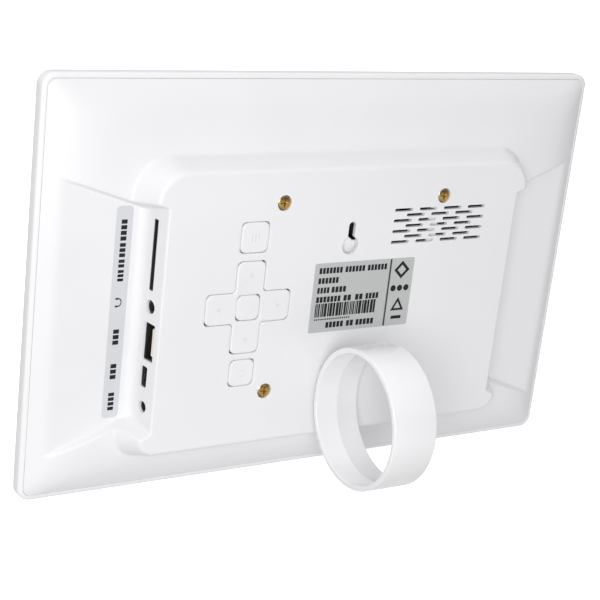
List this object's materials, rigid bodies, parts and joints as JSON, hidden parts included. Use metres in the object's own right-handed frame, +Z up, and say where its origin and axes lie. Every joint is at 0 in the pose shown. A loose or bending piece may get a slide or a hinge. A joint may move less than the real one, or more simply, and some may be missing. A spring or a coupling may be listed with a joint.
{
  "type": "digital photo frame",
  "caption": "Digital photo frame that leans back on a round swivel ring, with rear keys, side ports, speaker slots and a keyhole.",
  "frame": {"origin": "bottom centre of the box around the standing object, on the table it stands on", "axes": "+X towards the side with the ports, which is on the left when seen from behind; +Y out of the back; +Z up"},
  "size_m": [0.262, 0.0908, 0.1676],
  "materials": {
    "bezel_plastic": "satin white moulding",
    "cover_plastic": "fine satin white moulding",
    "stand_plastic": "polished white moulding",
    "key_plastic": "satin white keys",
    "screen_glass": "dark display glass",
    "clear_plastic": "clear light guide",
    "tray_metal": "pressed sheet",
    "strap_steel": "pressed sheet",
    "screw_steel": "zinc plated",
    "screw_brass": "yellow zinc plated",
    "board_green": "solder mask",
    "chip_black": "moulded",
    "coil_gray": "ferrite",
    "can_metal": "drawn can",
    "connector_ivory": "moulded",
    "ribbon_film": "film",
    "wire_red": "insulation",
    "socket_metal": "nickel plated",
    "socket_black": "moulded",
    "contact_metal": "plated",
    "speaker_black": "moulded",
    "cone_paper": "treated paper",
    "magnet_gray": "ferrite",
    "foam_black": "foam",
    "label_silver": "printed silver film",
    "label_pale": "printed pale film",
    "print_dark": "printed ink"
  },
  "bodies": {
    "frame": {"front_bezel": "bezel_plastic", "lcd_glass": "screen_glass", "light_guide": "clear_plastic", "lcd_tray": "tray_metal", "lcd_straps": "strap_steel", "strap_screws": "screw_steel", "case_standoffs": "screw_brass", "case_screws": "screw_brass", "rear_cover": "cover_plastic", "main_board": "board_green", "board_screws": "screw_steel", "main_processor": "chip_black", "memory_chips": "chip_black", "power_coil": "coil_gray", "capacitors": "can_metal", "ribbon_connector": "connector_ivory", "lcd_ribbon": "ribbon_film", "card_socket": "socket_black", "headphone_jack": "socket_black", "usb_socket": "socket_metal", "usb_tongue": "connector_ivory", "mini_usb_socket": "socket_metal", "mini_usb_tongue": "socket_black", "dc_jack": "socket_black", "dc_pin": "contact_metal", "speaker_basket": "speaker_black", "speaker_cone": "cone_paper", "speaker_magnet": "magnet_gray", "speaker_gasket": "foam_black", "speaker_wires": "wire_red", "key_board": "board_green", "key_board_screws": "screw_steel", "key_ribbon": "ribbon_film", "tact_switches": "socket_metal", "rating_label": "label_silver", "port_label": "label_pale"},
    "menu_key": {"menu_key": "key_plastic"},
    "exit_key": {"exit_key": "key_plastic"},
    "ok_key": {"ok_key": "key_plastic"},
    "arrow_gimbal": {"arrow_gimbal": "strap_steel"},
    "arrow_key": {"arrow_key": "key_plastic"},
    "stand": {"stand_ring": "stand_plastic", "swivel_wave_washer": "screw_steel", "swivel_washer": "screw_steel", "swivel_screw": "screw_steel"}
  },
  "joints": [
    {"name": "stand_swivel", "type": "hinge", "parent": "frame", "child": "stand", "pos_m": [0, -0.01338, 0.03534], "axis": [0, 0.9781, -0.2079], "range_deg": [0, 90]},
    {"name": "menu_press", "type": "slide", "parent": "frame", "child": "menu_key", "axis": [0, -0.9781, 0.2079], "range_m": [0, 0.0005], "stiffness_N_per_m": 600, "springref_m": -0.0006},
    {"name": "exit_press", "type": "slide", "parent": "frame", "child": "exit_key", "axis": [0, -0.9781, 0.2079], "range_m": [0, 0.0005], "stiffness_N_per_m": 600, "springref_m": -0.0006},
    {"name": "ok_press", "type": "slide", "parent": "frame", "child": "ok_key", "axis": [0, -0.9781, 0.2079], "range_m": [0, 0.0005], "stiffness_N_per_m": 600, "springref_m": -0.0006},
    {"name": "arrow_up_down", "type": "hinge", "parent": "frame", "child": "arrow_gimbal", "pos_m": [0.0458, -0.00892, 0.07533], "axis": [1, 0, 0], "range_deg": [-1.5, 1.5], "stiffness_Nm_per_rad": 0.3},
    {"name": "arrow_left_right", "type": "hinge", "parent": "arrow_gimbal", "child": "arrow_key", "pos_m": [0.0458, -0.00892, 0.07533], "axis": [0, 0.2079, 0.9781], "range_deg": [-1.5, 1.5], "stiffness_Nm_per_rad": 0.3}
  ]
}
